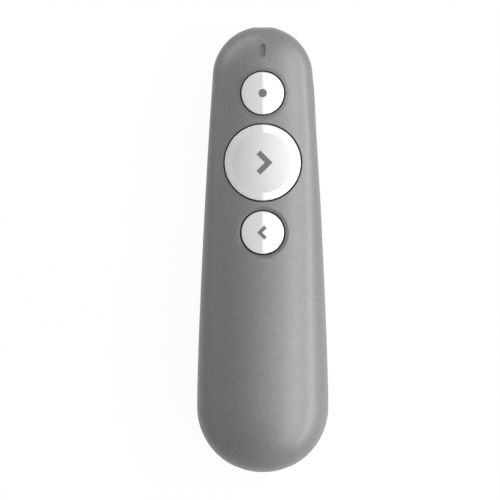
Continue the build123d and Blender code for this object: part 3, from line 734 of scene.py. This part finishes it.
@dataclass(frozen=True)
class CasingForm:
    """The upper outside of the casing, as a height over any place in plan."""

    nose_y: float = 46.5
    nose_radius: float = 13.4
    nose_top: float = 20.6
    nose_facet: float = 0.2  # cut flat off the tip
    tail_y: float = -42.09
    tail_radius: float = 17.61
    tail_top: float = 26.1
    parting: float = 13.1
    flatness: float = 0.56  # of a section across its middle
    squareness: float = 0.64  # of a section at its sides
    nose_hold: float = 3.0  # how far the sides keep the nose's direction
    tail_hold: float = 20.5  # how far they keep the tail's
    flare_width: float = 0.6
    flare_setback: float = 1.35  # behind the middle of the nose

    @lru_cache(maxsize=None)
    def half_width(self, y: float) -> float:
        """Half the casing's width between the two round ends.

        Args:
            y: A place along the clicker.

        Returns:
            The half width there.
        """
        widths = (self.nose_radius, self.nose_radius, self.nose_radius + self.flare_width,
                  self.tail_radius, self.tail_radius)
        places = (self.nose_y, self.nose_y - self.nose_hold, self.nose_y - self.flare_setback,
                  self.tail_y + self.tail_hold, self.tail_y)
        return bezier(widths, share_where(lambda share: -bezier(places, share), -y))

    def crown(self, y: float) -> float:
        """Height of the crown line at y, between the two round ends."""
        share = (self.nose_y - y) / (self.nose_y - self.tail_y)
        return self.nose_top + (self.tail_top - self.nose_top) * share * share * (3 - 2 * share)

    def reach(self, turn: float) -> float:
        """Share of the half width reached at a turn from 0, the crown, to 1, the side."""
        return bezier((0.0, self.flatness, 1.0, 1.0), turn)

    def level(self, turn: float, crown: float) -> float:
        """Height of a section at a turn."""
        shoulder = self.parting + self.squareness * (crown - self.parting)
        return bezier((crown, crown, shoulder, self.parting), turn)

    def section(self, y: float) -> tuple[float, float, float]:
        """The section at y, or the one that the nearer round end is turned from.

        Args:
            y: A place along the clicker.

        Returns:
            The section's own y, its half width and its crown height.
        """
        centre = min(max(y, self.tail_y), self.nose_y)
        return centre, self.half_width(centre), self.crown(centre)

    def height(self, x: float, y: float) -> float:
        """Height of the outside over a place in plan.

        Args:
            x: The place's x.
            y: The place's y.

        Returns:
            The height there.
        """
        centre, radius, crown = self.section(y)
        share = min(math.hypot(x, y - centre) / radius, 1.0)
        return self.level(share_where(self.reach, share), crown)

    def place(self, across: float, station: float) -> Vector:
        """A point of the outside from its place on a flat grid.

        Args:
            across: -1 at the left side, 0 on the crown line and 1 at the right side.
            station: Where the grid's row crosses the crown line, as a y.

        Returns:
            The point.
        """
        centre, radius, crown = self.section(station)
        turn = share_where(self.reach, min(abs(station - centre) / radius, 1.0))
        side = across * math.sqrt(1 - turn * turn / 2)
        ahead = math.copysign(turn * math.sqrt(1 - across * across / 2), station - centre)
        whole = math.hypot(side, ahead)
        spread = radius * self.reach(whole) / whole
        y = min(centre + spread * ahead, self.nose_y + self.nose_radius - self.nose_facet)
        return Vector((spread * side, y, self.level(whole, crown)))


def near_crown_line(place: Vector, low: float, high: float) -> Vector:
    """The point between two ends of the crown line that is nearest to a place in plan."""
    return Vector((0, min(max(place.y, low), high)))


def rounded_drop(radius: float, corner: float, sunk: float = 0.0, slope: float = 0.0) -> Pairs:
    """Rings for an edge that rounds over into an upright wall inside it.

    Args:
        radius: The wall's radius.
        corner: Radius of the rounding, which lies outside the wall.
        sunk: Depth at which the rounding starts.
        slope: How steeply the surface outside the rounding goes down towards it.

    Returns:
        Radius and depth of each ring, the last of them for the foot of the wall.
    """
    turns = [math.radians(angle) for angle in (0, *CORNER_ANGLES)]
    rings = [(radius + corner * (1 - math.sin(turn)), sunk + corner * (1 - math.cos(turn)))
             for turn in turns]
    held = HOLDING_SHARE * corner
    holding = (radius + corner + held, sunk - held * slope)
    return [holding] + rings + [(radius, sunk + 2 * corner)]


@dataclass(frozen=True)
class Well:
    """A round or slot-shaped opening worked into the top shell's skin.

    Attributes:
        centre: Its y.
        stretch: Half the straight run of a slot, 0 for a round well.
        columns: Grid columns that it takes on each side of the crown line.
        rings: Radius and depth below the outside of each ring, from the outside in.
        floor: Height that its wall goes down to.
        margin: Left between its first ring and the rows that it lies between.
    """

    centre: float
    stretch: float
    columns: int
    rings: tuple[tuple[float, float], ...]
    floor: float
    margin: float = 0.1

    def rows(self) -> tuple[float, float]:
        """The stations of the two rows that the well lies between."""
        reach = self.rings[0][0] + self.stretch + self.margin
        return self.centre - reach, self.centre + reach

    def core(self, place: Vector) -> Vector:
        """The point of the well's middle line that is nearest to a place in plan."""
        return near_crown_line(place, self.centre - self.stretch, self.centre + self.stretch)

    def cut(self, mesh: bmesh.types.BMesh, form: CasingForm,
            window: set[bmesh.types.BMFace]) -> None:
        """Opens the window and works the rings into it.

        Args:
            mesh: The skin.
            form: The casing's outside.
            window: The faces that the well replaces.
        """
        rim = [edge for edge in mesh.edges
               if sum(face in window for face in edge.link_faces) == 1]
        bmesh.ops.delete(mesh, geom=list(window), context="FACES")
        steps = [(self.rings[0][0], 0.0, share) for share in APPROACH]
        steps += [(*ring, 1.0) for ring in self.rings]
        for radius, depth, share in steps:
            verts, rim = grow(mesh, rim)
            for vert in verts:
                core = self.core(vert.co.xy)
                goal = core + (vert.co.xy - core).normalized() * radius
                place = vert.co.xy.lerp(goal, share)
                vert.co = (*place, form.height(*place) - depth)
        for vert in corners(rim):
            vert.co.z = self.floor


@dataclass
class TopShell:
    """The casing's upper half: one smooth skin with its key wells, status slot and mouth."""

    form: CasingForm
    key_places: dict[str, tuple[float, float]]
    status_y: float
    pitch: float = 0.85
    columns: int = 30
    well_columns: tuple[int, ...] = (12, 18, 10)
    slot_columns: int = 3
    key_gap: float = 0.4
    gap_corner: float = 0.14
    sleeve_foot: float = 17.2
    halo_width: float = 0.9
    halo_corner: float = 0.12
    slot_half_width: float = 0.67
    slot_stretch: float = 1.1
    slot_corner: float = 0.04
    slot_floor: float = 17.6
    slot_margin: float = 0.5
    seam_corner: float = 0.14
    mouth_half_width: float = 7.3
    mouth_top: float = 14.1
    mouth_reach: float = 5.0
    mouth_snap: float = 1e-5
    thickness: float = 0.85
    sleeve_share: float = 0.2

    def halo_rings(self, hole: float, depth: float) -> Pairs:
        """Rings of the shallow slope round a small key, and of the edge of its well.

        Args:
            hole: Radius of the well.
            depth: How far the slope goes down.

        Returns:
            Radius and depth of each ring.
        """
        outer, soft, corner = hole + self.halo_width, self.halo_corner, self.gap_corner / 2
        slope = depth / self.halo_width
        bend = [(outer + soft * shift, slope * soft * (1 - shift) ** 2 / 4)
                for shift in (1.0, 0.5, 0.0, -0.5, -1.0)]
        return bend + rounded_drop(hole, corner, depth - slope * corner, slope)

    def wells(self) -> list[Well]:
        """Lays out the three key wells and the status slot.

        Returns:
            The four openings.
        """
        wells = []
        for (name, (key_y, key_radius)), columns in zip(self.key_places.items(), self.well_columns):
            hole = key_radius + self.key_gap
            rings = rounded_drop(hole, self.gap_corner)
            if name in HALO_DEPTHS:
                rings = self.halo_rings(hole, HALO_DEPTHS[name])
            wells.append(Well(key_y, 0.0, columns, tuple(rings), self.sleeve_foot))
        slot = rounded_drop(self.slot_half_width, self.slot_corner)
        wells.append(Well(self.status_y, self.slot_stretch, self.slot_columns, tuple(slot),
                          self.slot_floor, self.slot_margin))
        return wells

    def stations(self, wells: list[Well]) -> list[float]:
        """Lays out the rows of the skin, with one at each edge of every well.

        Args:
            wells: The openings.

        Returns:
            The y at which each row crosses the crown line, from tail to nose.
        """
        form = self.form
        ends = {form.tail_y - form.tail_radius, form.tail_y, form.nose_y,
                form.nose_y + form.nose_radius}
        marks = sorted(ends.union(*(well.rows() for well in wells)))
        rows = marks[:1]
        for low, high in zip(marks, marks[1:]):
            steps = math.ceil((high - low) / self.pitch)
            rows += [low + (high - low) * step / steps for step in range(1, steps)] + [high]
        return rows

    def skin(self) -> bmesh.types.BMesh:
        """Makes the outside with its wells.

        Returns:
            An open surface.
        """
        wells = self.wells()
        rows = self.stations(wells)
        last = len(rows) - 1
        mesh = bmesh.new()
        bmesh.ops.create_grid(mesh, x_segments=2 * self.columns, y_segments=last, size=1.0)
        windows = []
        for well in wells:
            low, high = (rows.index(edge) for edge in well.rows())
            windows.append({
                face for face in mesh.faces
                if abs(face.calc_center_median().x) * self.columns < well.columns
                and low < (face.calc_center_median().y + 1) / 2 * last < high})
        for vert in mesh.verts:
            vert.co = self.form.place(vert.co.x, rows[round((vert.co.y + 1) / 2 * last)])
        for well, window in zip(wells, windows):
            well.cut(mesh, self.form, window)
        return mesh

    def soften_seam(self, mesh: bmesh.types.BMesh) -> None:
        """Rounds the lower edge over, so that the seam with the bottom shell shows.

        Args:
            mesh: The skin.
        """
        form = self.form
        near = self.seam_corner / 10
        rim = [edge for edge in mesh.edges if edge.is_boundary
               and all(abs(vert.co.z - form.parting) < near for vert in edge.verts)]
        for vert in corners(rim):
            vert.co.z += self.seam_corner
        for inward, down in SEAM_STEPS:
            verts, rim = grow(mesh, rim)
            for vert in verts:
                core = near_crown_line(vert.co.xy, form.tail_y, form.nose_y)
                step = (vert.co.xy - core).normalized() * self.seam_corner * inward
                vert.co -= Vector((*step, self.seam_corner * down))

    def open_mouth(self, mesh: bmesh.types.BMesh) -> None:
        """Cuts the upper part of the receiver's mouth out of the tail.

        Args:
            mesh: The skin.
        """
        end = self.form.tail_y - self.form.tail_radius + self.mouth_reach
        across, up = (1, 0, 0), (0, 0, 1)
        cuts = (((self.mouth_half_width, 0, 0), across), ((-self.mouth_half_width, 0, 0), across),
                ((0, 0, self.mouth_top), up))
        for place, normal in cuts:
            faces = [face for face in mesh.faces if face.calc_center_median().y < end]
            edges = list({edge for face in faces for edge in face.edges})
            bmesh.ops.bisect_plane(mesh, geom=faces + edges + list(corners(edges)),
                                   dist=self.mouth_snap, plane_co=place, plane_no=normal)
        gone = [face for face in mesh.faces if face.calc_center_median().y < end
                and abs(face.calc_center_median().x) < self.mouth_half_width
                and face.calc_center_median().z < self.mouth_top]
        bmesh.ops.delete(mesh, geom=gone, context="FACES")

    def thin_sleeves(self, shell: bpy.types.Object) -> None:
        """Weights the wall down round the wells, where a thick one would break through.

        Args:
            shell: The shell's object.
        """
        group = shell.vertex_groups.new(name=WALL)
        wells = self.wells()
        for vert in shell.data.vertices:
            place = vert.co.xy / MM
            near = any((place - well.core(place)).length < well.rings[0][0] + well.margin / 2
                       for well in wells)
            group.add([vert.index], self.sleeve_share if near else 1.0, "REPLACE")

    def build(self) -> bpy.types.Object:
        """Makes the shell.

        Returns:
            The finished object, riding on the casing.
        """
        mesh = self.skin()
        self.soften_seam(mesh)
        self.open_mouth(mesh)
        shell = to_object(mesh, "top_shell_skin", upward=True)
        self.thin_sleeves(shell)
        thicken(shell, self.thickness)
        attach(shell, CASING)
        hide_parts("top_shell")
        return shell


@dataclass
class Key:
    """A round push key whose top follows the casing's crown, hollow below with a middle post."""

    name: str
    form: CasingForm
    centre: float
    radius: float
    dish_radius: float = 0.0
    dish_depth: float = 0.0
    proud: float = 0.2
    corner: float = 0.22
    flange: float = 0.9
    flange_top: float = 17.0
    flange_foot: float = 16.15
    side: float = 1.1
    ceiling: float = 1.4
    post_radius: float = 1.6
    post_foot: float = 17.95
    segments: int = 96
    ring_pitch: float = 0.6
    dish_blend: float = 0.04
    dish_shifts: tuple[float, ...] = (-0.2, -0.07, 0.07, 0.2)

    def top(self, x: float, y: float) -> float:
        """Height of the key's top over a place in plan, before its edge is rounded.

        Args:
            x: The place's x.
            y: The place's y.

        Returns:
            The height there.
        """
        depth = 0.0
        if self.dish_radius:
            share = math.hypot(x, y - self.centre) / self.dish_radius
            bowl = self.dish_depth * (1 - share * share)
            blend = self.dish_blend * self.dish_depth
            depth = (bowl + math.sqrt(bowl * bowl + blend * blend)) / 2
        return self.form.height(x, y) + self.proud - depth

    def top_rings(self) -> Pairs:
        """Lays out the rings of the top, from the middle out over the edge.

        Returns:
            Radius and depth below the top of each ring.
        """
        flat = self.radius - self.corner
        count = round(flat / self.ring_pitch)
        rings = [(flat * ring / count, 0.0) for ring in range(1, count + 1)]
        if self.dish_radius:
            rings += [(self.dish_radius + shift, 0.0) for shift in self.dish_shifts]
        for turn in (math.radians(angle) for angle in CORNER_ANGLES):
            rings.append((flat + self.corner * math.sin(turn), self.corner * (1 - math.cos(turn))))
        return sorted(rings)

    def hidden_rings(self) -> list[tuple[float, Callable[[float, float], float]]]:
        """Lays out the rings below the edge, out round the flange and in to the post.

        Returns:
            Radius and height law of each ring.
        """
        outer, inner = self.radius + self.flange, self.radius - self.side
        under = [(self.radius, self.flange_top), (outer, self.flange_top),
                 (outer, self.flange_foot), (inner, self.flange_foot)]
        rings = [(radius, lambda x, y, level=level: level) for radius, level in under]
        for radius in (inner, self.post_radius):
            rings.append((radius, lambda x, y: self.form.height(x, y) - self.ceiling))
        return rings + [(self.post_radius, lambda x, y: self.post_foot)]

    def build(self) -> bpy.types.Object:
        """Makes the key as one closed solid.

        Returns:
            The finished object, riding on its own body.
        """
        rings = [(radius, lambda x, y, depth=depth: self.top(x, y) - depth)
                 for radius, depth in self.top_rings()] + self.hidden_rings()
        core = Vector((0, self.centre))
        mesh = bmesh.new()
        bmesh.ops.create_circle(mesh, cap_ends=True, cap_tris=True, segments=self.segments,
                                radius=rings[0][0])
        bmesh.ops.translate(mesh, vec=(*core, 0), verts=mesh.verts)
        for vert in mesh.verts:
            vert.co.z = self.top(vert.co.x, vert.co.y)
        rim = [edge for edge in mesh.edges if edge.is_boundary]
        for radius, law in rings[1:]:
            verts, rim = grow(mesh, rim)
            for vert in verts:
                place = core + (vert.co.xy - core).normalized() * radius
                vert.co = (*place, law(*place))
        bmesh.ops.edgeloop_fill(mesh, edges=rim)
        key = to_object(mesh, f"{self.name}_key_cap")
        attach(key, f"{self.name}_key_unit")
        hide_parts(f"{self.name}_key")
        return key


@dataclass
class KeyMark:
    """A second-shot mark, flush with the top of its key.

    Attributes:
        key: The key that it lies in.
        outline: Its corners in plan, from the key's middle.
        proud: How far it stands above the key's top.
        depth: How far it goes down into the key.
        pitch: Distance between the cuts that let it follow the key's top.
        snap: How near a cut a corner has to be to lie on it.
    """

    key: Key
    outline: Pairs
    proud: float = 0.012
    depth: float = 0.3
    pitch: float = 0.35
    snap: float = 1e-4

    def build(self) -> bpy.types.Object:
        """Makes the mark.

        Returns:
            The finished object, riding on its key's body.
        """
        mesh = bmesh.new()
        mesh.faces.new([mesh.verts.new((x, self.key.centre + y, 0)) for x, y in self.outline])
        reach = max(abs(value) for point in self.outline for value in point)
        cuts = math.ceil(reach / self.pitch)
        for normal in ((1, 0, 0), (0, 1, 0)):
            for cut in range(-cuts, cuts + 1):
                place = Vector(normal) * cut * self.pitch + Vector((0, self.key.centre, 0))
                bmesh.ops.bisect_plane(mesh, geom=mesh.verts[:] + mesh.edges[:] + mesh.faces[:],
                                       dist=self.snap, plane_co=place, plane_no=normal)
        for vert in mesh.verts:
            vert.co.z = self.key.top(vert.co.x, vert.co.y) + self.proud
        mark = to_object(mesh, f"{self.key.name}_key_legend", upward=True, smooth=False)
        thicken(mark, self.depth)
        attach(mark, f"{self.key.name}_key_unit")
        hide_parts(f"{self.key.name}_key_mark")
        return mark


def dot_outline(radius: float, segments: int = 48) -> Pairs:
    """Corners of a round dot."""
    turns = [math.tau * step / segments for step in range(segments)]
    return [(radius * math.cos(turn), radius * math.sin(turn)) for turn in turns]


def chevron_outline(height: float, width: float, stroke: float, shift: float) -> Pairs:
    """Corners of a square-ended chevron that points the way it is shifted.

    Args:
        height: Its extent along Y.
        width: Its extent along X.
        stroke: The thickness of its two strokes.
        shift: Of its middle from the key's, along X.

    Returns:
        The six corners, in order.
    """
    half, end = height / 2, stroke / math.sqrt(2)
    ahead = math.copysign(1, shift)
    tip = ahead * width / 2 + shift
    outer = tip - ahead * half
    inner = outer - ahead * end
    return [(tip, 0.0), (outer, half), (inner, half - end), (tip - ahead * 2 * end, 0.0),
            (inner, end - half), (outer, -half)]


def thicken(piece: bpy.types.Object, thickness: float) -> None:
    """Gives an open skin a wall behind it, as thick as its wall weights say if it has any.

    Args:
        piece: The object.
        thickness: The wall's thickness in millimetres.
    """
    wall = piece.modifiers.new(WALL, "SOLIDIFY")
    wall.thickness = thickness * MM
    wall.offset = -1.0
    if WALL in piece.vertex_groups:
        wall.vertex_group = WALL


def dress_nodes(materials: dict[str, bpy.types.Material]) -> None:
    """Gives every CAD node the material of its record slot.

    Args:
        materials: The built materials by slot name.
    """
    for part in frame["record"]["subparts"]:
        node = frame["nodes"][part["node"]]
        node.data.materials.clear()
        node.data.materials.append(materials[part["material_slot"]])


KEY_RADII = {"laser": 5.7, "next": 10.2, "back": 5.7}
DISH_RADIUS, DISH_DEPTH = 8.1, 0.5
MARK_OUTLINES = {
    "laser": dot_outline(1.13),
    "next": chevron_outline(6.5, 4.27, 1.49, 0.5),
    "back": chevron_outline(3.76, 2.54, 0.96, -0.22),
}


def middle_y(node: str) -> float:
    """Middle of a CAD node along Y, in millimetres."""
    low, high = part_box(node)
    return (low.y + high.y) / 2 / MM


def build_casing(materials: dict[str, bpy.types.Material]) -> list[bpy.types.Object]:
    """Makes the top shell, the keys and their marks, and gives each its finish.

    Args:
        materials: The built materials by slot name.

    Returns:
        The pieces.
    """
    form = CasingForm()
    places = {name: (middle_y(f"{name}_switch"), radius) for name, radius in KEY_RADII.items()}
    polish, grain = FINISHES["key_white"], FINISHES["casing_grey"]
    # the big key's dish is satin and has painted shade in its colour
    dish_shaded_white = DishedFinish("key_white_dished_painted_shade", polish.effect, polish.colour, polish.settings,
                          polish.shader, polish.bump, middle=places["next"][0],
                          radius=DISH_RADIUS).material()
    top = TopShell(form, places, middle_y("status_light_pipe"))
    # the shell has painted shade in the rings round the laser and back keys
    ring_shaded_grey = RingShadeFinish("casing_grey_painted_ring_shade", grain.effect, grain.colour, grain.settings,
                          grain.shader, grain.bump, middles=(places["laser"][0], places["back"][0]),
                          radius=KEY_RADII["laser"] + top.key_gap + top.halo_width).material()
    shell = top.build()
    shell.data.materials.append(ring_shaded_grey)
    pieces = [shell]
    for name, (key_y, radius) in places.items():
        key, gloss = Key(name, form, key_y, radius), materials["key_white"]
        if name == "next":
            key, gloss = Key(name, form, key_y, radius, DISH_RADIUS, DISH_DEPTH), dish_shaded_white
        cap = key.build()
        cap.data.materials.append(gloss)
        legend = KeyMark(key, MARK_OUTLINES[name]).build()
        legend.data.materials.append(materials["mark_grey"])
        pieces += [cap, legend]
    return pieces


def main() -> None:
    """Builds the looks in order and reports each piece."""
    logging.basicConfig(level=logging.INFO)
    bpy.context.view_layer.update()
    moulded_group()
    metal_group()
    materials = {slot: finish.material() for slot, finish in FINISHES.items()}
    dress_nodes(materials)
    for piece in build_casing(materials):
        LOG.info("%s: %d faces", piece.name, len(piece.data.polygons))
    Studio().build()


if __name__ == "__main__":
    main()
